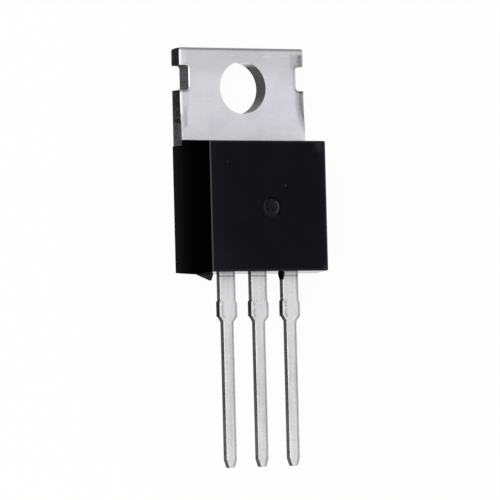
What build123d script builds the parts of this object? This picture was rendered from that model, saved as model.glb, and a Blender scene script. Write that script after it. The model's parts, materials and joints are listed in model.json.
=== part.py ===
"""Three-lead power transistor in a flat-tab moulded package.

The part lies on its metal back. The origin is the centre of the tab's screw hole on the seating
plane, +Z comes out of the moulded front, +Y runs towards the tab's end and the leads run to -Y.
All sizes are millimetres.
"""

import os
from math import radians, tan

from build123d import *

# Header: one copper stamping with the tab, the die pad and the centre lead.
tab_width = 10.0
tab_thickness = 1.32
tab_corner_radius = 0.2
hole_diameter = 3.7
hole_to_tab_end = 2.79
hole_to_body = 3.68
tab_tail = 0.4               # full tab width runs this far into the moulding
tab_rim_bevel = 0.03         # softened front edges of the tab's end and sides
tab_side_roll = 0.12         # rounded back edges of its sides
roll_width = 0.22            # rolled back edge at the tab's end, along the tab
roll_height = 0.7            # and through its thickness
notch_depth = 0.67
notch_height = 1.74
notch_centre_y = 0.68
notch_corner_radius = 0.25
coin_radius = 4.1            # conical bevels coined above and below each notch
coin_reach = 0.66            # width of a bevel at the tab's side
coin_depth = 0.13            # its depth there
coin_offset = 1.43           # along the tab from a notch's centre to a bevel's
header_length = 12.7         # tab end to the die pad's far edge
pad_width = 8.9
pad_back_width = 8.0         # narrower at the back, so the resin holds the pad
pad_step = 0.5               # height of that step above the back
pad_corner_radius = 0.3
groove_width = 0.4           # V groove across the pad, which stops creeping moisture
groove_depth = 0.2
groove_gap = 0.5             # from the start of the pad to the groove's near edge

# Leads: flat, in one plane above the seating plane.
lead_pitch = 2.54
lead_thickness = 0.5
lead_offset = 2.45           # seating plane to the leads' back
shoulder_width = 1.24
lead_width = 0.8
shoulder_length = 1.88       # moulding to the dam-bar stub
stub_height = 1.08           # what is left of the trimmed dam bar
stub_left = 0.08
stub_right = 0.1
stub_lead_in = 0.2
taper_height = 0.37
lead_length = 13.47          # moulding to tip
tip_height = 0.55
tip_width = 0.42
tip_radius = 0.12
edge_bevel = 0.02            # softened edges all round the leads
lead_root = 0.3              # they start this far inside the moulding

# Centre lead's jog from the die pad up to the lead plane.
jog_root_width = 2.6
jog_run = 0.5                # flat run beyond the die pad
jog_rise_run = 1.25          # horizontal length of the sloping part
jog_radius = 0.55

# Bonding posts at the inner ends of the outer leads.
post_width = 2.1
post_height = 1.5
post_shift = 0.2             # posts sit further out than their leads
post_neck = 0.5              # length of the taper from post to shoulder
post_to_body_end = 1.35      # post's near edge to the moulding's end
post_corner_radius = 0.25

# Moulded body.
body_width = 10.05
body_thickness = 4.65
body_length = 9.45
side_draft = 6.5             # degrees, on the front half's sides
end_draft = 4.0              # degrees, on every end face
body_edge_radius = 0.12      # edges of the front face and the corners that run up to it
ejector_diameter = 1.3       # mark of a mould pin, at the front face
ejector_depth = 0.07
ejector_x = 0.25
ejector_to_body_end = 4.59   # from its centre
gate_stub_width = 1.2        # broken moulding gate beside the gate lead
gate_stub_height = 0.43
gate_stub_thickness = 0.3
gate_stub_from_side = 0.2
gate_stub_peak = 0.87        # share of the width at which the stub is tallest
flash_width = 0.12           # resin web left beside the source lead
flash_height = 0.42
flash_front = 0.06           # how far the web stands in front of the lead

# Chip, its solder and the bond wires.
die_width = 4.4
die_length = 3.4
die_thickness = 0.25
solder_thickness = 0.05
solder_margin = 0.15
die_from_pad_end = 0.9
gate_wire_diameter = 0.15
source_wire_diameter = 0.38
source_wire_gap = 0.35       # clear space between the two source wires
wire_rise = 0.8              # top of a wire's loop above its post
wire_bends = [(0.12, 0.75), (0.35, 1.0), (0.75, 0.3)]    # shares of the run and of the rise
bond_length = 0.55
bond_spread = 1.3            # a pressed bond's width over its wire's diameter
gate_pad_inset = 0.5         # gate bond's centre from the chip's left and near edges
source_pad_inset = 1.1       # source bonds' centre from the chip's right edge
source_bond_depth = 0.75     # source bonds' centre from the chip's near edge

# Places worked out from the sizes above.
tab_end_y = hole_to_tab_end
body_top_y = -hole_to_body
neck_y = body_top_y - tab_tail
pad_end_y = tab_end_y - header_length
body_end_y = body_top_y - body_length
tip_y = body_end_y - lead_length
lead_plane_z = lead_offset + lead_thickness / 2
lead_front_z = lead_offset + lead_thickness
side_slope = tan(radians(side_draft))
end_slope = tan(radians(end_draft))
post_near_y = body_end_y + post_to_body_end
post_x = lead_pitch + post_shift
die_y = pad_end_y + die_from_pad_end + die_length / 2
solder_top_z = tab_thickness + solder_thickness
die_top_z = solder_top_z + die_thickness
far = 60.0                   # longer than the part, for profiles cut through it


def plan(points, z, height):
    """Prism on an outline in the XY plane."""
    face = make_face(Polyline(*points, close=True))
    return extrude(Pos(0, 0, z) * face, amount=height)


def side_profile(points):
    """Prism right across the part on an outline given as (y, z)."""
    face = make_face(Polyline(*points, close=True))
    return extrude(Plane.YZ * face, amount=far / 2, both=True)


def plate(width, y_low, y_high, z_low, z_high):
    """Plate centred on the part's middle plane."""
    middle = Pos(0, (y_low + y_high) / 2, (z_low + z_high) / 2)
    return middle * Box(width, y_high - y_low, z_high - z_low)


def tab():
    """Tab with its rounded edges, side notches and coined bevels, without the hole."""
    solid = plate(tab_width, neck_y, tab_end_y, 0, tab_thickness)
    corners = solid.edges().filter_by(Axis.Z).group_by(Axis.Y)[-1]
    solid = fillet(corners, tab_corner_radius)
    notch = Box(2 * notch_depth, notch_height, 3 * tab_thickness)
    notch = fillet(notch.edges().filter_by(Axis.Z), notch_corner_radius)
    for side in (-1, 1):
        solid -= Pos(side * tab_width / 2, notch_centre_y) * notch
    rim = solid.faces().sort_by(Axis.Z)[-1].edges().filter_by(lambda edge: edge.center().Y > neck_y)
    solid = chamfer(rim, tab_rim_bevel)
    sides = solid.edges().filter_by(Axis.Y).group_by(Axis.Z)[0]
    sides = sides.filter_by(lambda edge: abs(edge.center().X) > tab_width / 2 - notch_depth / 2)
    solid = fillet(sides, tab_side_roll)
    for coin in coins():
        solid -= coin
    return solid - tab_end_roll()


def coins():
    """Flat cones that coin the bevels, one above and one below each notch."""
    height = tab_thickness / 2
    slope = coin_depth / coin_reach
    cone = Cone(coin_radius - height / slope, coin_radius, height)
    x = tab_width / 2 - coin_reach + coin_radius
    z = tab_thickness - height / 2
    return [
        Pos(side * x, notch_centre_y + along * coin_offset, z) * cone
        for side in (-1, 1)
        for along in (-1, 1)
    ]


def tab_end_roll():
    """What the blanking die rolls off the back edge of the tab's end."""
    block = plate(far, tab_end_y - roll_width, tab_end_y + roll_width, -roll_height, roll_height)
    section = Pos(tab_end_y - roll_width, roll_height) * Ellipse(roll_width, roll_height)
    return block - extrude(Plane.YZ * section, amount=far / 2, both=True)


def die_pad():
    """Pad under the chip, stepped along its sides and end, with a V groove across it."""
    front = plate(pad_width, pad_end_y, neck_y, pad_step, tab_thickness)
    inset = (pad_width - pad_back_width) / 2
    back = plate(pad_back_width, pad_end_y + inset, neck_y, 0, tab_thickness)
    front = fillet(front.edges().filter_by(Axis.Z).group_by(Axis.Y)[0], pad_corner_radius)
    back = fillet(back.edges().filter_by(Axis.Z).group_by(Axis.Y)[0], pad_corner_radius)
    groove_y = neck_y - groove_gap - groove_width / 2
    groove = side_profile([
        (groove_y - groove_width / 2, tab_thickness),
        (groove_y, tab_thickness - groove_depth),
        (groove_y + groove_width / 2, tab_thickness),
    ])
    return front + back - groove


def lead_outline(x, inner_y):
    """Lead's outline in plan, from inner_y inside the moulding out to the tip."""
    stub_top = body_end_y - shoulder_length
    stub_low = stub_top - stub_height
    taper_low = stub_low - taper_height
    shoulder = shoulder_width / 2
    half = lead_width / 2
    right = [
        (shoulder, inner_y),
        (shoulder, stub_top),
        (shoulder + stub_right, stub_top - stub_lead_in),
        (shoulder + stub_right, stub_low),
        (half, taper_low),
        (half, tip_y + tip_height),
        (tip_width / 2, tip_y),
    ]
    left = [
        (-tip_width / 2, tip_y),
        (-half, tip_y + tip_height),
        (-half, taper_low),
        (-shoulder, stub_low),
        (-shoulder - stub_left, stub_low),
        (-shoulder - stub_left, stub_top),
        (-shoulder, stub_top),
        (-shoulder, inner_y),
    ]
    return [(x + dx, y) for dx, y in right + left]


def outer_lead(x):
    """Flat lead from just inside the moulding to its tip, with softened edges all round."""
    face = make_face(Polyline(*lead_outline(x, body_end_y + lead_root), close=True))
    face = fillet(face.vertices().group_by(Axis.Y)[0], tip_radius)
    solid = extrude(Pos(0, 0, lead_offset) * face, amount=lead_thickness)
    for side in (0, -1):
        rim = solid.faces().sort_by(Axis.Z)[side].edges()
        solid = chamfer(rim, edge_bevel)
    return solid


def centre_lead():
    """Centre lead from the die pad's front layer up the jog and out of the moulding."""
    root_z = tab_thickness - lead_thickness / 2
    path = FilletPolyline(
        (pad_end_y + pad_corner_radius, root_z),
        (pad_end_y - jog_run, root_z),
        (pad_end_y - jog_run - jog_rise_run, lead_plane_z),
        (body_end_y, lead_plane_z),
        radius=jog_radius,
    )
    strip = extrude(Plane.YZ * trace(path, lead_thickness), amount=far / 2, both=True)
    narrow_y = pad_end_y - jog_run - jog_rise_run / 2
    shoulder = shoulder_width / 2
    root = jog_root_width / 2
    outline = [
        (root, pad_end_y + pad_corner_radius),
        (root, pad_end_y - jog_run / 2),
        (shoulder, narrow_y),
        (shoulder, body_end_y),
        (-shoulder, body_end_y),
        (-shoulder, narrow_y),
        (-root, pad_end_y - jog_run / 2),
        (-root, pad_end_y + pad_corner_radius),
    ]
    return (strip & plan(outline, 0, far / 2)) + outer_lead(0)


def tab_header():
    """Tab, die pad and centre lead in one piece, with the screw hole."""
    solid = tab() + die_pad() + centre_lead()
    return solid - Cylinder(hole_diameter / 2, 4 * tab_thickness)


def side_lead(side):
    """Gate lead (side -1) or source lead (side 1) with its bonding post."""
    x = side * lead_pitch
    shoulder = shoulder_width / 2
    post = Pos(side * post_x, post_near_y + post_height / 2) * Rectangle(post_width, post_height)
    post = fillet(post.vertices(), post_corner_radius)
    neck = make_face(Polyline(
        (side * post_x - post_width / 2 + post_corner_radius, post_near_y),
        (side * post_x + post_width / 2 - post_corner_radius, post_near_y),
        (x + shoulder, post_near_y - post_neck),
        (x + shoulder, body_end_y),
        (x - shoulder, body_end_y),
        (x - shoulder, post_near_y - post_neck),
        close=True,
    ))
    inner = extrude(Pos(0, 0, lead_offset) * (post + neck), amount=lead_thickness)
    return inner + outer_lead(x)


def bond_wire(diameter, post_point, die_point):
    """Looped wire with a pressed bond at each end; the points are the bonds' centres."""
    start = Vector(*post_point, lead_front_z)
    end = Vector(*die_point, die_top_z)
    run = Vector(end.X - start.X, end.Y - start.Y, 0)
    rise = Vector(0, 0, wire_rise)
    bends = [start + run * along + rise * height for along, height in wire_bends]
    path = Polyline(start, *bends, end)
    profile = Plane(origin=start, z_dir=path % 0) * Circle(diameter / 2)
    wire = sweep(profile, path=path, transition=Transition.RIGHT)
    width = diameter * bond_spread
    bond = Box(bond_length, width, diameter / 2, align=(Align.CENTER, Align.CENTER, Align.MIN))
    bond = fillet(bond.edges().filter_by(Axis.Z), width * 0.4)
    turn = Vector(1, 0, 0).get_signed_angle(run, Vector(0, 0, 1))
    below = Box(bond_length, 2 * width, diameter, align=(Align.CENTER, Align.CENTER, Align.MAX))
    for point in (start, end):
        place = Location(point, (0, 0, turn))
        wire = wire - place * below + place * bond
    return wire


def bond_points():
    """Bond places in plan: name, wire diameter, point on the post, point on the chip."""
    die_near_y = die_y - die_length / 2
    post_y = post_near_y + post_height / 2
    gate_point = (-die_width / 2 + gate_pad_inset, die_near_y + gate_pad_inset)
    rows = [("gate_wire", gate_wire_diameter, (-post_x, post_y), gate_point)]
    step = (source_wire_diameter * bond_spread + source_wire_gap) / 2
    for name, side in (("source_wire_left", -1), ("source_wire_right", 1)):
        x = die_width / 2 - source_pad_inset + side * step
        point = (x, die_near_y + source_bond_depth)
        rows.append((name, source_wire_diameter, (post_x + side * step, post_y), point))
    return rows


def body_block():
    """Moulded block: two drafted profiles crossed, so every face leaves its mould half."""
    face_rise = body_thickness - tab_thickness
    end_profile = [
        (neck_y, 0),
        (neck_y, tab_thickness),
        (body_top_y, tab_thickness),
        (body_top_y - face_rise * end_slope, body_thickness),
        (body_end_y + (body_thickness - lead_plane_z) * end_slope, body_thickness),
        (body_end_y, lead_plane_z),
        (body_end_y + lead_plane_z * end_slope, 0),
    ]
    half = body_width / 2
    front_half = half - face_rise * side_slope
    cross_section = make_face(Polyline(
        (-half, 0),
        (-half, tab_thickness),
        (-front_half, body_thickness),
        (front_half, body_thickness),
        (half, tab_thickness),
        (half, 0),
        close=True,
    ))
    block = side_profile(end_profile) & extrude(Plane.XZ * cross_section, amount=far, both=True)
    middle_z = (tab_thickness + body_thickness) / 2
    corners = block.edges().filter_by(lambda edge: edge.center().Z > middle_z - lead_thickness)
    corners = corners.filter_by(lambda edge: abs(edge.center().X) > front_half)
    corners = corners.filter_by(lambda edge: abs(edge.tangent_at(0.5).Z) > 0.9)
    rim = block.faces().sort_by(Axis.Z)[-1].edges()
    return fillet(corners + rim, body_edge_radius)


def resin_remnants():
    """Broken gate beside the gate lead and the web of flash beside the source lead."""
    left = -body_width / 2 + gate_stub_from_side
    low = body_end_y - gate_stub_height
    root = body_end_y + lead_thickness
    stub = plan([
        (left, root),
        (left, body_end_y),
        (left + gate_stub_width * gate_stub_peak, low),
        (left + gate_stub_width, body_end_y),
        (left + gate_stub_width, root),
    ], lead_plane_z - gate_stub_thickness / 2, gate_stub_thickness)
    lead_side = lead_pitch - shoulder_width / 2
    web = plan([
        (lead_side - flash_width, root),
        (lead_side - flash_width, body_end_y),
        (lead_side, body_end_y - flash_height),
        (lead_side + flash_width, body_end_y),
        (lead_side + flash_width, root),
    ], lead_offset, lead_thickness + flash_front)
    return stub + web


def ejector_mark():
    """Shallow round recess with a sloping wall, pressed by a pin that pushes the moulding out."""
    radius = ejector_diameter / 2
    mark = Cone(radius - ejector_depth, radius + ejector_depth, 2 * ejector_depth)
    return Pos(ejector_x, body_end_y + ejector_to_body_end, body_thickness) * mark


def moulded_body(inner_pieces):
    """Moulding with its ejector mark, hollowed exactly where it grips the inner pieces."""
    solid = body_block() + resin_remnants() - ejector_mark()
    for piece in inner_pieces:
        solid -= piece
    return solid


def build():
    """Every piece of the part by name."""
    pieces = {
        "tab_header": tab_header(),
        "gate_lead": side_lead(-1),
        "source_lead": side_lead(1),
        "die_solder": Pos(0, die_y) * plate(
            die_width + 2 * solder_margin,
            -die_length / 2 - solder_margin,
            die_length / 2 + solder_margin,
            tab_thickness,
            solder_top_z,
        ),
        "silicon_die": Pos(0, die_y) * plate(
            die_width, -die_length / 2, die_length / 2, solder_top_z, die_top_z
        ),
    }
    for name, diameter, post_point, die_point in bond_points():
        pieces[name] = bond_wire(diameter, post_point, die_point)
    pieces["moulded_body"] = moulded_body(list(pieces.values()))
    return pieces


os.makedirs("parts", exist_ok=True)
for node, shape in build().items():
    export_step(shape, f"parts/{node}.step")
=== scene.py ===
"""Studio picture of a flat-tab power transistor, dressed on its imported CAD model. Units are metres."""

import json
import math

import bmesh
import bpy
from mathutils import Matrix, Vector


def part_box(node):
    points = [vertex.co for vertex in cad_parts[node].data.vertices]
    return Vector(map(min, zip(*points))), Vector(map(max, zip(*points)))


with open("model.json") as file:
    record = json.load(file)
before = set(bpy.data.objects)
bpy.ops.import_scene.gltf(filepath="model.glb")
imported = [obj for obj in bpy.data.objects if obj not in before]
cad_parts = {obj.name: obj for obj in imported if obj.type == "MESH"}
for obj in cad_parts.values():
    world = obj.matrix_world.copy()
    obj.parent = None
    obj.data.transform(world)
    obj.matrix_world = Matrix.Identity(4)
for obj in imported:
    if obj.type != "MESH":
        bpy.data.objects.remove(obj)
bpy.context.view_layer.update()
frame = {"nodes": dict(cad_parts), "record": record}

MM = 0.001
MOUNTS = {mount["name"]: mount for mount in frame["record"]["mounts"]}
TAB_THICKNESS = MOUNTS["tab_hole"]["dims"]["length_mm"] * MM
HOLE_RADIUS = MOUNTS["tab_hole"]["dims"]["r_mm"] * MM
HEADER_LOW, HEADER_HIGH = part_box("tab_header")
BODY_LOW, BODY_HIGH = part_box("moulded_body")

# The block's far end, without the gate stub and the flash that stand out of it.
BLOCK_LENGTH = 9.45 * MM
BLOCK_END_Y = BODY_HIGH.y - BLOCK_LENGTH

# Leads: where the wide shoulders end, the stubs of the cut dam bar on them, and the tips.
SHOULDER_END_Y = MOUNTS["board_leads"]["pos_m"][1]
DAM_BAR_LOW_Y = SHOULDER_END_Y + 0.32 * MM
DAM_BAR_HIGH_Y = SHOULDER_END_Y + 1.5 * MM
LEAD_TIP_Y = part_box("gate_lead")[0].y

# The tab's side notches, and the flat cones that coin its front above and below each of them:
# how far a cone reaches in from the tab's side, and its middle's distance from the notch's.
NOTCH_Y = 0.68 * MM
COIN_RADIUS = 4.1 * MM
COIN_REACH = 0.66 * MM
COIN_X = HEADER_HIGH.x - COIN_REACH + COIN_RADIUS
COIN_OFFSET = 1.43 * MM

# Middle of the ejector mark in the block's front, and of the chips at its lower right corner.
MARK_X = 0.25 * MM
MARK_Y = BODY_HIGH.y - 4.86 * MM
CHIPS_X = 4.75 * MM
CHIPS_Y = -13.1 * MM


# --- tones along the pieces, as pairs of a distance and the tone reached there -------------------

# Painted shade on the coins of the tab's right side: mm from where the cone meets the flat face,
# negative on the cone.
COIN_TONES = (
    (-0.66, 0.6),
    (-0.54, 0.5),
    (-0.4, 0.34),
    (-0.3, 0.42),
    (-0.18, 0.66),
    (0, 0.72),
    (0.1, 0.88),
    (0.28, 1),
)
# Painted shade on the ear above the right notch: mm from the tab's right side.
EAR_TONES = (
    (-1.22, 1),
    (-1.02, 0.8),
    (-0.6, 0.74),
    (-0.46, 0.58),
    (-0.3, 0.42),
    (-0.2, 0.42),
    (-0.08, 0.64),
    (0, 0.64),
)
# Painted shade in the crease below the left notch: mm from the tab's left side.
CREASE_TONES = ((0.05, 0.97), (0.2, 0.88), (0.3, 0.7), (0.4, 0.66), (0.45, 0.72), (0.5, 1))
# Strength of that painted shade: mm along the tab from the hole's centre.
CREASE_STRENGTHS = ((-2.9, 0), (-2.7, 1), (-2, 1), (-1.6, 0.6), (-1.1, 0.1))
# Painted shade on the tab's left rim, which starts at the block: mm along the tab from the hole's
# centre.
LEFT_RIM_TONES = (
    (BODY_HIGH.y / MM, 0.12),
    (BODY_HIGH.y / MM + 0.8, 0.2),
    (-2.2, 0.26),
    (-1.6, 0.36),
    (-1.2, 0.5),
    (-0.8, 0.72),
)
# Painted shade on the tab's sheared outer sides: mm above the seating plane.
OUTER_SIDE_TONES = (
    (0, 0.007),
    (0.1, 0.009),
    (0.22, 0.056),
    (0.36, 0.03),
    (0.8, 0.021),
    (1.1, 0.025),
    (TAB_THICKNESS / MM, 0.03),
)
# Burrs on those sides: mm along the tab from the block.
BURR_TONES = ((1.6, 0.24), (2.6, 0.06))
# Painted reflection and shade on the hole's wall: radii along the tab from the hole's centre.
BORE_TONES = (
    (-0.96, 0.7),
    (-0.91, 0.36),
    (-0.86, 0.22),
    (-0.65, 0.2),
    (-0.45, 0.13),
    (-0.3, 0.09),
    (0.3, 0.088),
    (0.45, 0.105),
    (0.74, 0.11),
    (0.81, 0.19),
    (0.87, 0.42),
    (0.92, 0.75),
    (0.95, 1),
)
# Painted shade on the block's sides: mm above the seating plane.
BLOCK_SIDE_TONES = (
    (0, 0.0062),
    (0.3, 0.0056),
    (0.9, 0.0034),
    (1.3, 0.0024),
    (1.8, 0.0012),
    (2.4, 0.0006),
    (3.1, 0.0003),
    (4.5, 0),
)

# Painted sheen at two corners of the block's front: x, y and radius in mm, and tone.
SHEEN_CORNERS = ((-4.7, -12.9, 3.6, 0.0118), (4.6, -4.1, 1.1, 0.04))
# Two small pits in that front, each a painted highlight beside a painted shadow: x, y and radius in mm,
# and tone.
PITS = (
    (1.32, -7.04, 0.16, 0.024),
    (1.46, -7.19, 0.16, 0.002),
    (-3.3, -5.38, 0.14, 0.022),
    (-3.46, -5.53, 0.13, 0.003),
)


# --- small helpers for node trees ---------------------------------------------------------------


def add_node(tree, kind, settings=None, **inputs):
    """Adds a shader node. Inputs are named with _ for spaces; sockets are linked, values are set."""
    made = tree.nodes.new(kind)
    for name, value in (settings or {}).items():
        setattr(made, name, value)
    for name, value in inputs.items():
        feed(tree, made.inputs[name.replace("_", " ")], value)
    return made


def feed(tree, socket, value):
    """Links a socket to the input, or sets its constant."""
    if isinstance(value, bpy.types.NodeSocket):
        tree.links.new(value, socket)
    else:
        socket.default_value = value


def maths(tree, operation, first, second=0.0, clamp=False):
    """One Math node's result."""
    made = add_node(tree, "ShaderNodeMath", {"operation": operation, "use_clamp": clamp})
    feed(tree, made.inputs[0], first)
    feed(tree, made.inputs[1], second)
    return made.outputs[0]


def all_of(tree, mask, *others):
    """Where every one of the masks holds."""
    for other in others:
        mask = maths(tree, "MULTIPLY", mask, other)
    return mask


def none_of(tree, mask):
    """Where a mask doesn't hold."""
    return maths(tree, "SUBTRACT", 1.0, mask)


def smooth_range(tree, value, low, high):
    """0 at low, 1 at high, with a smooth step between; low may be above high."""
    made = add_node(
        tree,
        "ShaderNodeMapRange",
        {"interpolation_type": "SMOOTHSTEP"},
        Value=value,
        From_Min=low,
        From_Max=high,
    )
    return made.outputs["Result"]


def inside(tree, value, low, high, soft):
    """1 between low and high, with soft ends."""
    above = smooth_range(tree, value, low - soft / 2, low + soft / 2)
    return all_of(tree, above, smooth_range(tree, value, high + soft / 2, high - soft / 2))


def reach_from(tree, place, x, y):
    """Distance from the upright line at x and y."""
    flat = add_node(tree, "ShaderNodeVectorMath", {"operation": "MULTIPLY"})
    feed(tree, flat.inputs[0], place)
    flat.inputs[1].default_value = (1, 1, 0)
    made = add_node(tree, "ShaderNodeVectorMath", {"operation": "DISTANCE"})
    feed(tree, made.inputs[0], flat.outputs[0])
    made.inputs[1].default_value = (x, y, 0)
    return made.outputs["Value"]


def round_spot(tree, place, x, y, radius, core=0.0):
    """Round mask at x and y, full within its core and gone at its radius."""
    return smooth_range(tree, reach_from(tree, place, x, y), radius, core)


def noise(tree, place, size, detail=2.0, roughness=0.5, stretch=(1, 1, 1)):
    """Noise with features about size metres across, drawn out along an axis by its stretch."""
    mapping = add_node(tree, "ShaderNodeMapping", Vector=place)
    mapping.inputs["Scale"].default_value = [1 / s for s in stretch]
    made = add_node(
        tree,
        "ShaderNodeTexNoise",
        Vector=mapping.outputs[0],
        Scale=1 / size,
        Detail=detail,
        Roughness=roughness,
    )
    return made.outputs["Fac"]


def specks(tree, place, size, low, high, **grain):
    """Mask of a noise's specks: 0 where the noise is at low, 1 at high; low may be above high."""
    return smooth_range(tree, noise(tree, place, size, **grain), low, high)


def grey(tone):
    """Neutral colour of one tone."""
    return (tone, tone, tone, 1)


def slate(tone):
    """Colour of one tone with the epoxy's faint violet cast."""
    return (0.97 * tone, 0.93 * tone, 1.18 * tone, 1)


def mix_colour(tree, mask, first, second, blend="MIX"):
    """Mixes two colours by a mask."""
    made = add_node(tree, "ShaderNodeMix", {"data_type": "RGBA", "blend_type": blend})
    feed(tree, made.inputs["Factor"], mask)
    feed(tree, made.inputs[6], first)
    feed(tree, made.inputs[7], second)
    return made.outputs[2]


def mix_value(tree, mask, first, second):
    """Mixes two numbers by a mask."""
    made = add_node(tree, "ShaderNodeMix", Factor=mask)
    feed(tree, made.inputs[2], first)
    feed(tree, made.inputs[3], second)
    return made.outputs[0]


def shade(tree, colour, mask, tones):
    """Multiplies a colour by tones where the mask holds."""
    return mix_colour(tree, mask, colour, tones, "MULTIPLY")


def darken(tree, colour, mask, share):
    """Multiplies a colour down to a share of itself where the mask holds."""
    return shade(tree, colour, mask, grey(share))


def tone_ramp(tree, value, start, unit, stops):
    """Grey that runs through stops, each a distance from the start in units, and a tone."""
    low = start + stops[0][0] * unit
    high = start + stops[-1][0] * unit
    along = add_node(tree, "ShaderNodeMapRange", Value=value, From_Min=low, From_Max=high)
    made = add_node(tree, "ShaderNodeValToRGB", Fac=along.outputs["Result"])
    ends = made.color_ramp.elements
    ends[0].color, ends[1].color = grey(stops[0][1]), grey(stops[-1][1])
    for distance, tone in stops[1:-1]:
        ends.new((start + distance * unit - low) / (high - low)).color = grey(tone)
    return made.outputs["Color"]


def new_material(name):
    """Empty node material with its Principled shader; gives both and the object coordinates."""
    made = bpy.data.materials.new(name)
    made.use_nodes = True
    tree = made.node_tree
    shader = tree.nodes["Principled BSDF"]
    place = tree.nodes.new("ShaderNodeTexCoord").outputs["Object"]
    return made, tree, shader, place


def fine_bump(tree, shader, height, strength):
    """Relief a hundredth of a millimetre high on a shader."""
    bump = add_node(tree, "ShaderNodeBump", Height=height, Strength=strength, Distance=0.01 * MM)
    feed(tree, shader.inputs["Normal"], bump.outputs[0])


# --- masks that both the metal and the epoxy use -------------------------------------------------


def surface_masks_group():
    """Masks by how a surface faces: cut walls, softened rims, and rims that look left."""
    group = bpy.data.node_groups.new("surface masks", "ShaderNodeTree")
    for name in ("Wall", "Rim", "Left"):
        group.interface.new_socket(name, in_out="OUTPUT", socket_type="NodeSocketFloat")
    normal = group.nodes.new("ShaderNodeTexCoord").outputs["Normal"]
    split = add_node(group, "ShaderNodeSeparateXYZ", Vector=normal)
    upright = maths(group, "ABSOLUTE", split.outputs["Z"])
    wall = smooth_range(group, upright, 0.5, 0.3)
    flat = smooth_range(group, upright, 0.88, 0.94)
    rim = maths(group, "SUBTRACT", none_of(group, wall), flat, clamp=True)
    out = group.nodes.new("NodeGroupOutput")
    feed(group, out.inputs["Wall"], wall)
    feed(group, out.inputs["Rim"], rim)
    feed(group, out.inputs["Left"], smooth_range(group, split.outputs["X"], -0.02, -0.15))
    return group


def edge_lean_group():
    """How far a face leans over towards an edge nearer than its Width: across in X, along in Y.

    With a Width of 0.5 mm the lean is about 0.5 at the edge, 0.3 at 0.07 mm from it, 0.15 at
    0.14 mm and 0.05 at 0.21 mm. It is negative towards the left and towards the leads.
    """
    group = bpy.data.node_groups.new("edge lean", "ShaderNodeTree")
    group.interface.new_socket("Width", in_out="INPUT", socket_type="NodeSocketFloat")
    for name in ("Across", "Along"):
        group.interface.new_socket(name, in_out="OUTPUT", socket_type="NodeSocketFloat")
    width = group.nodes.new("NodeGroupInput").outputs["Width"]
    rounded = add_node(group, "ShaderNodeBevel", {"samples": 16}, Radius=width)
    turned = add_node(
        group,
        "ShaderNodeVectorTransform",
        {"vector_type": "NORMAL", "convert_from": "WORLD", "convert_to": "OBJECT"},
        Vector=rounded.outputs[0],
    )
    split = add_node(group, "ShaderNodeSeparateXYZ", Vector=turned.outputs[0])
    out = group.nodes.new("NodeGroupOutput")
    feed(group, out.inputs["Across"], split.outputs["X"])
    feed(group, out.inputs["Along"], split.outputs["Y"])
    return group


SURFACE_MASKS = surface_masks_group()
EDGE_LEAN = edge_lean_group()


def place_masks(tree, edge_width):
    """Puts both groups in a material and gives their outputs."""
    masks = add_node(tree, "ShaderNodeGroup", {"node_tree": SURFACE_MASKS})
    lean = add_node(tree, "ShaderNodeGroup", {"node_tree": EDGE_LEAN}, Width=edge_width)
    return masks.outputs, lean.outputs


# --- tinned copper of the header and the leads ---------------------------------------------------


def metal_places(tree, place):
    """Masks of the stamped pieces' regions, which their faces and walls share."""
    split = add_node(tree, "ShaderNodeSeparateXYZ", Vector=place)
    x, y, z = split.outputs["X"], split.outputs["Y"], split.outputs["Z"]
    on_leads = smooth_range(tree, z, 1.5 * TAB_THICKNESS, 1.7 * TAB_THICKNESS)
    on_tab = none_of(tree, on_leads)
    stubs = inside(tree, y, DAM_BAR_LOW_Y, DAM_BAR_HIGH_Y, 0.15 * MM)
    near_hole = round_spot(tree, place, 0, 0, HOLE_RADIUS + 0.4 * MM, HOLE_RADIUS + 0.3 * MM)
    return {
        "X": x,
        "Y": y,
        "Z": z,
        "leads": on_leads,
        "tab": on_tab,
        "dam bar": all_of(tree, on_leads, stubs),
        "hole": all_of(tree, on_tab, near_hole),
    }


def plated_face(tree, where, place):
    """Tone of the satin tin on the rolled faces, from the tab's end to the leads' tips."""
    y = where["Y"]
    # The face is darker towards the tab's end.
    away_from_tab_end = smooth_range(tree, y, HEADER_HIGH.y - 1.1 * MM, HEADER_HIGH.y - 2.4 * MM)
    hue = specks(tree, place, 3.5 * MM, 0.4, 0.6, detail=1)
    middle = mix_colour(tree, hue, (0.672, 0.663, 0.695, 1), (0.67, 0.659, 0.72, 1))
    tab_face = mix_colour(tree, away_from_tab_end, (0.585, 0.578, 0.6, 1), middle)
    # Painted light: the face is paler next to the block.
    near_body = smooth_range(tree, y, BODY_HIGH.y + 1.2 * MM, BODY_HIGH.y)
    tab_face = mix_colour(tree, near_body, tab_face, (0.715, 0.706, 0.742, 1))
    along = smooth_range(tree, y, SHOULDER_END_Y, LEAD_TIP_Y)
    lead_face = mix_colour(tree, along, (0.705, 0.7, 0.72, 1), (0.725, 0.725, 0.73, 1))
    face = mix_colour(tree, where["leads"], tab_face, lead_face)
    clouds = specks(tree, place, 1.6 * MM, 0.42, 0.7, detail=3)
    grain = specks(tree, place, 0.11 * MM, 0.45, 0.75, detail=3, roughness=0.7)
    return darken(tree, darken(tree, face, clouds, 0.94), grain, 0.9)


def drawn_lines(tree, where, place, face):
    """Fine lines along the leads, with streaks on their thin parts and patches of wear."""
    leads = where["leads"]
    lines = specks(tree, place, 0.12 * MM, 0.5, 0.65, detail=1, stretch=(1, 30, 1))
    face = darken(tree, face, all_of(tree, leads, lines), 0.93)
    thin = smooth_range(tree, where["Y"], SHOULDER_END_Y + 0.6 * MM, SHOULDER_END_Y - 1.0 * MM)
    streaks = specks(tree, place, 0.2 * MM, 0.5, 0.6, detail=1, stretch=(1, 25, 1))
    face = darken(tree, face, all_of(tree, thin, streaks), 0.88)
    patches = specks(tree, place, 2.2 * MM, 0.45, 0.6, detail=1)
    worn = specks(tree, place, 0.14 * MM, 0.52, 0.64)
    return darken(tree, face, all_of(tree, leads, patches, worn), 0.86)


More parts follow.
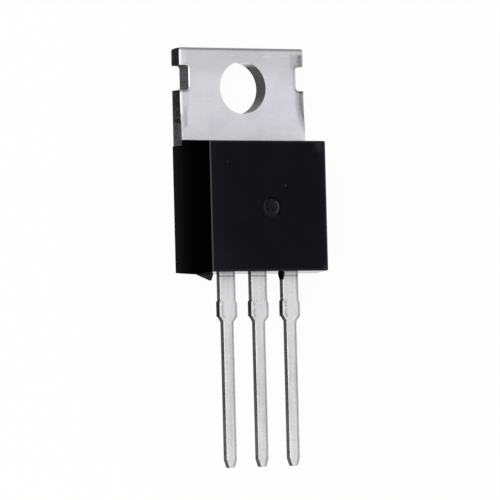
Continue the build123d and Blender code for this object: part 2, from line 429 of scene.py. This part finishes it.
def cross_scratches(tree, where, place, face):
    """Short scratches across the pieces: dark on the leads, faint and partly pale on the tab."""
    across = noise(tree, place, 0.12 * MM, detail=1, stretch=(12, 1, 1))
    dark_on_leads = smooth_range(tree, across, 0.66, 0.74)
    face = darken(tree, face, all_of(tree, where["leads"], dark_on_leads), 0.9)
    dark_on_tab = smooth_range(tree, across, 0.62, 0.74)
    face = darken(tree, face, all_of(tree, where["tab"], dark_on_tab), 0.94)
    pale_on_tab = all_of(tree, where["tab"], smooth_range(tree, across, 0.33, 0.22))
    return mix_colour(tree, pale_on_tab, face, (0.75, 0.74, 0.77, 1))


def shadow_line_by_block(tree, where, face):
    """Painted shadow: a dark line across the leads, just beside the block."""
    line = inside(tree, where["Y"], BLOCK_END_Y - 0.2 * MM, BLOCK_END_Y - 0.08 * MM, 0.04 * MM)
    return darken(tree, face, all_of(tree, where["leads"], line), 0.58)


def coins_reach(tree, place, side):
    """Distance from the nearer of the two cones that coin one side of the tab."""
    return maths(
        tree,
        "MINIMUM",
        reach_from(tree, place, side * COIN_X, NOTCH_Y + COIN_OFFSET),
        reach_from(tree, place, side * COIN_X, NOTCH_Y - COIN_OFFSET),
    )


def right_coins(tree, where, place, above, face):
    """The tab's right side: painted shade on the coin below the notch and on the ear above it, and pits
    on both coins.
    """
    x, y = where["X"], where["Y"]
    right = all_of(tree, where["tab"], smooth_range(tree, x, -0.1 * MM, 0.1 * MM))
    reach = coins_reach(tree, place, 1)
    coin_shade = tone_ramp(tree, reach, COIN_RADIUS, MM, COIN_TONES)
    face = shade(tree, face, all_of(tree, right, none_of(tree, above)), coin_shade)
    ear = tone_ramp(tree, x, HEADER_HIGH.x, MM, EAR_TONES)
    on_ear = inside(tree, y, 1.3 * MM, HEADER_HIGH.y - 0.4 * MM, 0.3 * MM)
    face = shade(tree, face, all_of(tree, right, on_ear), ear)
    on_coins = smooth_range(tree, reach, COIN_RADIUS, COIN_RADIUS - 0.15 * MM)
    pitted = specks(tree, place, 0.15 * MM, 0.55, 0.68)
    return darken(tree, face, all_of(tree, right, on_coins, pitted), 0.7)


def left_coins(tree, where, place, above, face):
    """The tab's left side: painted shade in a dip and a crease below the notch, and a painted highlight
    on the coin above it.
    """
    x, y = where["X"], where["Y"]
    left = all_of(tree, where["tab"], smooth_range(tree, x, 0.1 * MM, -0.1 * MM))
    below = all_of(tree, left, none_of(tree, above))
    reach = coins_reach(tree, place, -1)
    dip = inside(tree, reach, COIN_RADIUS - 0.18 * MM, COIN_RADIUS - 0.02 * MM, 0.1 * MM)
    near_notch = smooth_range(tree, y, -2 * MM, -1.4 * MM)
    face = darken(tree, face, all_of(tree, below, dip, near_notch), 0.87)
    crease = tone_ramp(tree, x, HEADER_LOW.x, MM, CREASE_TONES)
    creased = tone_ramp(tree, y, 0, MM, CREASE_STRENGTHS)
    face = shade(tree, face, all_of(tree, below, creased), crease)
    # Painted highlight on the coin above the left notch.
    bright = smooth_range(tree, x, HEADER_LOW.x + 0.58 * MM, HEADER_LOW.x + 0.3 * MM)
    return mix_colour(tree, all_of(tree, left, above, bright), face, (0.68, 0.672, 0.695, 1))


def left_rims(tree, where, masks, face):
    """Painted shade on the softened left rims of the tab and the leads, darkest on the cut dam bars."""
    left_rim = all_of(tree, masks["Rim"], masks["Left"])
    tab_rim = all_of(tree, where["tab"], left_rim, none_of(tree, where["hole"]))
    face = shade(tree, face, tab_rim, tone_ramp(tree, where["Y"], 0, MM, LEFT_RIM_TONES))
    lead_rim = all_of(tree, where["leads"], left_rim)
    face = darken(tree, face, lead_rim, 0.53)
    return darken(tree, face, all_of(tree, lead_rim, where["dam bar"]), 0.3)


def left_glints(tree, where, level, across, face):
    """Painted highlight in a line inside the left edges of the tab and the dam bars, and painted shade
    just beside it.
    """
    creased = inside(tree, where["Y"], BODY_HIGH.y + 0.55 * MM, -1.9 * MM, 0.3 * MM)
    glinting_tab = all_of(tree, where["tab"], none_of(tree, creased))
    glinting = maths(tree, "MAXIMUM", where["dam bar"], glinting_tab)
    glint = all_of(tree, level, smooth_range(tree, across, -0.35, -0.48), glinting)
    face = mix_colour(tree, glint, face, (0.95, 0.94, 0.96, 1))
    beside = all_of(tree, where["tab"], level, inside(tree, across, -0.36, -0.2, 0.1))
    return darken(tree, face, beside, 0.84)


def dam_bar_edge_shade(tree, where, place, level, across, face):
    """Painted shade in a ragged fold and along the torn edge at the left of each cut dam bar."""
    ragged = specks(tree, place, 0.2 * MM, 0.38, 0.5)
    fold = all_of(tree, where["dam bar"], inside(tree, across, -0.23, -0.07, 0.05), ragged)
    face = darken(tree, face, fold, 0.3)
    torn = all_of(tree, level, where["dam bar"], smooth_range(tree, across, -0.62, -0.72))
    return darken(tree, face, torn, 0.3)


def dark_edges(tree, where, level, lean, face):
    """Painted shade in dark lines along the right notch's inner edge, the leads' right edges and the
    tab's end.
    """
    notched = smooth_range(tree, where["X"], HEADER_HIGH.x - 0.6 * MM, HEADER_HIGH.x - 0.65 * MM)
    beside_notch = inside(tree, lean["Across"], 0.15, 0.38, 0.06)
    face = darken(tree, face, all_of(tree, notched, where["tab"], level, beside_notch), 0.55)
    beside_lead = inside(tree, lean["Across"], 0.27, 0.52, 0.06)
    face = darken(tree, face, all_of(tree, where["leads"], level, beside_lead), 0.3)
    tab_end = smooth_range(tree, lean["Along"], 0.12, 0.35)
    return darken(tree, face, all_of(tree, level, tab_end), 0.42)


def outer_side(tree, where, place, scuffed):
    """The tab's own sheared sides: darkest of all from painted shade, scuffed, with bright burrs near
    the block.
    """
    side = tone_ramp(tree, where["Z"], 0, MM, OUTER_SIDE_TONES)
    side = darken(tree, side, scuffed, 0.5)
    burrs = specks(tree, place, 0.13 * MM, 0.58, 0.68)
    burr_tone = tone_ramp(tree, where["Y"], BODY_HIGH.y, MM, BURR_TONES)
    return mix_colour(tree, burrs, side, burr_tone)


def hole_wall(tree, where, place):
    """The punched hole's wall: painted reflection bright at both ends, painted shade between, and scored
    at its far end.
    """
    bore = tone_ramp(tree, where["Y"], 0, HOLE_RADIUS, BORE_TONES)
    chatter = specks(tree, place, 0.2 * MM, 0.5, 0.65, stretch=(1, 1, 3))
    bore = darken(tree, bore, chatter, 0.78)
    scored = specks(tree, place, 0.15 * MM, 0.5, 0.58, detail=1, stretch=(1, 1, 8))
    far_end = inside(tree, where["Y"], HOLE_RADIUS * 0.6, HOLE_RADIUS * 0.86, HOLE_RADIUS * 0.1)
    return darken(tree, bore, all_of(tree, far_end, scored), 0.45)


def sheared_wall(tree, where, place):
    """Streaked metal of every cut side, the tab's outer sides and the hole's wall with it; its dark tone
    is partly bare sheared metal and partly painted shade.
    """
    y = where["Y"]
    off_middle = maths(tree, "ABSOLUTE", where["X"])
    outside = smooth_range(tree, off_middle, HEADER_HIGH.x - 0.3 * MM, HEADER_HIGH.x - 0.1 * MM)
    scuffed = specks(tree, place, 0.17 * MM, 0.46, 0.56, detail=3)
    towards_tip = smooth_range(tree, y, LEAD_TIP_Y + 4.5 * MM, LEAD_TIP_Y + 2.5 * MM)
    cut = mix_colour(tree, towards_tip, (0.1, 0.1, 0.104, 1), (0.135, 0.135, 0.138, 1))
    cut = darken(tree, cut, all_of(tree, where["tab"], outside, scuffed), 0.5)
    wander = maths(tree, "MULTIPLY", noise(tree, place, 0.2 * MM), 0.8 * MM)
    ragged_y = maths(tree, "ADD", y, wander)
    off_body = smooth_range(tree, ragged_y, BODY_HIGH.y + 1.45 * MM, BODY_HIGH.y + 1.6 * MM)
    outer = outer_side(tree, where, place, scuffed)
    wall = mix_colour(tree, all_of(tree, outside, off_body), cut, outer)
    streaks = specks(tree, place, 0.16 * MM, 0.52, 0.36, stretch=(1, 1, 6))
    wall = darken(tree, wall, streaks, 0.7)
    wall = darken(tree, wall, where["dam bar"], 0.25)
    torn = specks(tree, place, 0.12 * MM, 0.5, 0.7, detail=3)
    wall = darken(tree, wall, torn, 0.75)
    return mix_colour(tree, where["hole"], wall, hole_wall(tree, where, place))


def tinned_copper():
    """Satin tin plating over the copper stampings, with sheared sides darkened by painted shade, and
    painted highlights and shade along the rims.
    """
    made, tree, shader, place = new_material("tinned_copper")
    where = metal_places(tree, place)
    masks, lean = place_masks(tree, edge_width=0.5 * MM)
    face = plated_face(tree, where, place)
    face = drawn_lines(tree, where, place, face)
    face = cross_scratches(tree, where, place, face)
    # Painted shadow across the leads beside the block.
    face = shadow_line_by_block(tree, where, face)
    above = smooth_range(tree, where["Y"], NOTCH_Y - 0.2 * MM, NOTCH_Y + 0.2 * MM)
    face = right_coins(tree, where, place, above, face)
    face = left_coins(tree, where, place, above, face)
    face = left_rims(tree, where, masks, face)
    # Flat metal, away from the softened rims and from the hole.
    level = all_of(tree, none_of(tree, masks["Rim"]), none_of(tree, where["hole"]))
    face = left_glints(tree, where, level, lean["Across"], face)
    # Painted shade along the left of each dam bar.
    face = dam_bar_edge_shade(tree, where, place, level, lean["Across"], face)
    face = dark_edges(tree, where, level, lean, face)
    wall = sheared_wall(tree, where, place)
    feed(tree, shader.inputs["Base Color"], mix_colour(tree, masks["Wall"], face, wall))
    shader.inputs["Metallic"].default_value = 1
    shader.inputs["Specular Tint"].default_value = grey(0.6)
    brushed = noise(tree, place, 0.1 * MM, stretch=(1, 10, 1))
    face_rough = mix_value(tree, brushed, 0.34, 0.44)
    feed(tree, shader.inputs["Roughness"], mix_value(tree, masks["Wall"], face_rough, 0.5))
    fine_bump(tree, shader, brushed, strength=0.15)
    return made


# --- black epoxy of the block --------------------------------------------------------------------


def epoxy_front(tree, x, y, place, lean):
    """Tone of the moulded front: cloudy, with painted sheen at corners and edges, chips, and two pits
    painted as highlight and shadow.
    """
    clouds = noise(tree, place, 1.8 * MM)
    front = mix_colour(tree, clouds, (0.0062, 0.006, 0.0082, 1), (0.0085, 0.008, 0.0105, 1))
    past_end = smooth_range(tree, y, BLOCK_END_Y - 0.02 * MM, BLOCK_END_Y - 0.06 * MM)
    left_part = smooth_range(tree, x, BODY_LOW.x + 1.8 * MM, BODY_LOW.x + 1.6 * MM)
    chipped_corner = round_spot(tree, place, CHIPS_X, CHIPS_Y, 0.9 * MM, core=0.5 * MM)
    chips = all_of(tree, chipped_corner, specks(tree, place, 0.12 * MM, 0.5, 0.62))
    # Painted sheen at two corners and in strips along the left, right and lead-end edges, and painted
    # highlights along the edges towards the tab and on the right.
    sheen_corners = [
        (round_spot(tree, place, corner_x * MM, corner_y * MM, radius * MM), tone)
        for corner_x, corner_y, radius, tone in SHEEN_CORNERS
    ]
    left_strip = (smooth_range(tree, x, BODY_LOW.x + 2.2 * MM, BODY_LOW.x), 0.0102)
    right_strip = (smooth_range(tree, x, BODY_HIGH.x - 1.1 * MM, BODY_HIGH.x - 0.4 * MM), 0.0098)
    end_strip = (smooth_range(tree, y, BLOCK_END_Y + 0.4 * MM, BLOCK_END_Y + 0.1 * MM), 0.018)
    gate_stub = (all_of(tree, past_end, left_part), 0.034)
    tab_edge = (smooth_range(tree, lean["Along"], 0.06, 0.35), 0.014)
    right_edge = (smooth_range(tree, lean["Across"], 0.03, 0.25), 0.03)
    for mask, tone in (
        left_strip,
        *sheen_corners,
        end_strip,
        right_strip,
        gate_stub,
        (chips, 0.045),
        tab_edge,
        right_edge,
    ):
        front = mix_colour(tree, mask, front, slate(tone))
    for pit_x, pit_y, radius, tone in PITS:
        pit = round_spot(tree, place, pit_x * MM, pit_y * MM, radius * MM)
        front = mix_colour(tree, pit, front, grey(tone))
    return front


def ejector_mark(tree, x, y, place, colour):
    """The mark's blotchy floor, a painted highlight in a crescent inside its right wall, and that wall's
    painted shadow.
    """
    reach = reach_from(tree, place, MARK_X, MARK_Y)
    right_half = smooth_range(tree, x, MARK_X - 0.25 * MM, MARK_X + 0.15 * MM)
    pale = mix_colour(tree, right_half, slate(0.0145), slate(0.0165))
    blotches = specks(tree, place, 0.25 * MM, 0.4, 0.62)
    floor = smooth_range(tree, reach, 0.62 * MM, 0.55 * MM)
    floor_tone = mix_colour(tree, blotches, pale, slate(0.0075))
    colour = mix_colour(tree, floor, colour, floor_tone)
    right_part = smooth_range(tree, x, MARK_X + 0.15 * MM, MARK_X + 0.4 * MM)
    crescent = all_of(tree, right_part, inside(tree, reach, 0.42 * MM, 0.54 * MM, 0.06 * MM))
    colour = mix_colour(tree, crescent, colour, grey(0.05))
    tab_part = smooth_range(tree, y, MARK_Y + 0.42 * MM, MARK_Y + 0.56 * MM)
    turned_away = maths(tree, "MAXIMUM", tab_part, right_part)
    shadow = all_of(tree, turned_away, inside(tree, reach, 0.6 * MM, 0.72 * MM, 0.05 * MM))
    return mix_colour(tree, shadow, colour, grey(0.004))


def black_epoxy():
    """Silica-filled moulding compound: near black and finely grained, with painted highlights on its
    sharp edges and painted shade on its sides.
    """
    made, tree, shader, place = new_material("black_epoxy")
    split = add_node(tree, "ShaderNodeSeparateXYZ", Vector=place)
    x, y, z = split.outputs["X"], split.outputs["Y"], split.outputs["Z"]
    masks, lean = place_masks(tree, edge_width=0.3 * MM)
    front = epoxy_front(tree, x, y, place, lean)
    # Painted shade: the sides are darker than the front, and darker still higher up.
    wall = tone_ramp(tree, z, 0, MM, BLOCK_SIDE_TONES)
    # Painted highlight on the rounded rims, brightest on those that look left.
    rim = mix_colour(tree, masks["Left"], (0.028, 0.028, 0.029, 1), (0.058, 0.058, 0.06, 1))
    colour = mix_colour(tree, masks["Wall"], front, wall)
    colour = mix_colour(tree, masks["Rim"], colour, rim)
    on_front = smooth_range(tree, z, BODY_HIGH.z - 0.2 * MM, BODY_HIGH.z - 0.1 * MM)
    round_mark = round_spot(tree, place, MARK_X, MARK_Y, 0.8 * MM, core=0.75 * MM)
    mark = ejector_mark(tree, x, y, place, front)
    colour = mix_colour(tree, all_of(tree, on_front, round_mark), colour, mark)
    feed(tree, shader.inputs["Base Color"], colour)
    shader.inputs["Specular IOR Level"].default_value = 0.001
    grain = noise(tree, place, 0.09 * MM, detail=4, roughness=0.65)
    feed(tree, shader.inputs["Roughness"], mix_value(tree, grain, 0.18, 0.26))
    # The resin shines only where it is seen almost edge on.
    grazing = tree.nodes.new("ShaderNodeLayerWeight").outputs["Facing"]
    feed(tree, shader.inputs["Coat Weight"], smooth_range(tree, grazing, 0.78, 0.9))
    shader.inputs["Coat Roughness"].default_value = 0.03
    fine_bump(tree, shader, grain, strength=0.1)
    return made


# --- hidden pieces, and the finish of every node -------------------------------------------------


def plain_metal(name, colour, roughness):
    """Metal of the hidden pieces, slightly uneven in tone."""
    made, tree, shader, place = new_material(name)
    clouds = noise(tree, place, 0.4 * MM)
    darker = [c * 0.8 for c in colour[:3]] + [1]
    feed(tree, shader.inputs["Base Color"], mix_colour(tree, clouds, colour, darker))
    shader.inputs["Metallic"].default_value = 1
    feed(tree, shader.inputs["Roughness"], mix_value(tree, clouds, roughness, roughness + 0.15))
    return made


def dress(node_name, material):
    """Gives a CAD node its material."""
    mesh = frame["nodes"][node_name].data
    mesh.materials.clear()
    mesh.materials.append(material)


def dress_part():
    """Every CAD node's finish."""
    plating = tinned_copper()
    for name in ("tab_header", "gate_lead", "source_lead"):
        dress(name, plating)
    dress("moulded_body", black_epoxy())
    aluminium = plain_metal("bond_aluminium", (0.8, 0.8, 0.82, 1), 0.3)
    for name in ("gate_wire", "source_wire_left", "source_wire_right"):
        dress(name, aluminium)
    dress("die_solder", plain_metal("soft_solder", (0.5, 0.5, 0.5, 1), 0.45))
    dress("silicon_die", plain_metal("silicon", (0.16, 0.16, 0.19, 1), 0.12))


# --- studio --------------------------------------------------------------------------------------


def white_where_seen(tree, shaded, white, share):
    """Mixes plain white into a stage surface wherever the camera or a reflection sees it."""
    path = tree.nodes.new("ShaderNodeLightPath").outputs
    seen = maths(tree, "MAXIMUM", path["Is Camera Ray"], path["Is Glossy Ray"])
    seen = maths(tree, "MAXIMUM", seen, path["Is Transmission Ray"])
    mixed = tree.nodes.new("ShaderNodeMixShader")
    feed(tree, mixed.inputs[0], maths(tree, "MULTIPLY", seen, share))
    feed(tree, mixed.inputs[1], shaded)
    feed(tree, mixed.inputs[2], white)
    return mixed.outputs[0]


def studio_floor():
    """Plain pale floor under the part."""
    mesh = bpy.data.meshes.new("studio_floor")
    shape = bmesh.new()
    bmesh.ops.create_grid(shape, x_segments=1, y_segments=1, size=2.0)
    shape.to_mesh(mesh)
    shape.free()
    floor = bpy.data.objects.new("studio_floor", mesh)
    bpy.context.scene.collection.objects.link(floor)
    made, tree, shader, _ = new_material("studio_floor")
    shader.inputs["Base Color"].default_value = (0.9, 0.9, 0.9, 1)
    shader.inputs["Roughness"].default_value = 0.9
    shader.inputs["Specular IOR Level"].default_value = 0.0
    white = add_node(tree, "ShaderNodeEmission", Color=(1, 1, 1, 1), Strength=1)
    surface = white_where_seen(tree, shader.outputs[0], white.outputs[0], 0.95)
    feed(tree, tree.nodes["Material Output"].inputs["Surface"], surface)
    mesh.materials.append(made)


def studio_world():
    """Even pale surroundings, white where the camera or a reflection sees them."""
    world = bpy.data.worlds.new("studio")
    world.use_nodes = True
    tree = world.node_tree
    soft = tree.nodes["Background"]
    soft.inputs["Color"].default_value = (1, 1, 1, 1)
    soft.inputs["Strength"].default_value = 0.7
    white = add_node(tree, "ShaderNodeBackground", Color=(1, 1, 1, 1), Strength=1)
    surface = white_where_seen(tree, soft.outputs[0], white.outputs[0], 1.0)
    feed(tree, tree.nodes["World Output"].inputs["Surface"], surface)
    bpy.context.scene.world = world


def soft_box(name, offset, target, size, power):
    """Square area lamp, at an offset from the point that it faces."""
    lamp = bpy.data.lights.new(name, "AREA")
    lamp.size = size
    lamp.energy = power
    made = bpy.data.objects.new(name, lamp)
    bpy.context.scene.collection.objects.link(made)
    made.location = target + Vector(offset)
    made.rotation_mode = "QUATERNION"
    made.rotation_quaternion = (target - made.location).to_track_quat("-Z", "Y")


def studio_camera():
    """Long lens that looks down on the part, 30 degrees round from its left side."""
    around = math.radians(-30.0)
    below = math.radians(-1.81)
    roll = math.radians(-1.44)
    distance = 331.7 * MM
    target = Vector((-0.17, -11.43, 2.05)) * MM
    flat_back = Vector((math.sin(around), 0, math.cos(around)))
    back = flat_back * math.cos(below) + Vector((0, math.sin(below), 0))
    right = Vector((math.cos(around), 0, -math.sin(around)))
    up = back.cross(right)
    turned_right = right * math.cos(roll) + up * math.sin(roll)
    turned_up = up * math.cos(roll) - right * math.sin(roll)
    axes = Matrix((turned_right, turned_up, back)).transposed().to_4x4()
    camera = bpy.data.objects.new("camera", bpy.data.cameras.new("camera"))
    bpy.context.scene.collection.objects.link(camera)
    camera.matrix_world = Matrix.Translation(target + back * distance) @ axes
    camera.data.sensor_width = 36
    camera.data.lens = 341.27
    camera.data.clip_start = 10 * MM
    camera.data.clip_end = 10
    bpy.context.scene.camera = camera


bpy.context.scene.view_settings.view_transform = "Standard"
studio_camera()
studio_floor()
studio_world()
block_centre = (BODY_LOW + BODY_HIGH) / 2
soft_box("left_soft_box", offset=(-0.43, 0.02, 0.25), target=block_centre, size=0.3, power=1.5)
dress_part()
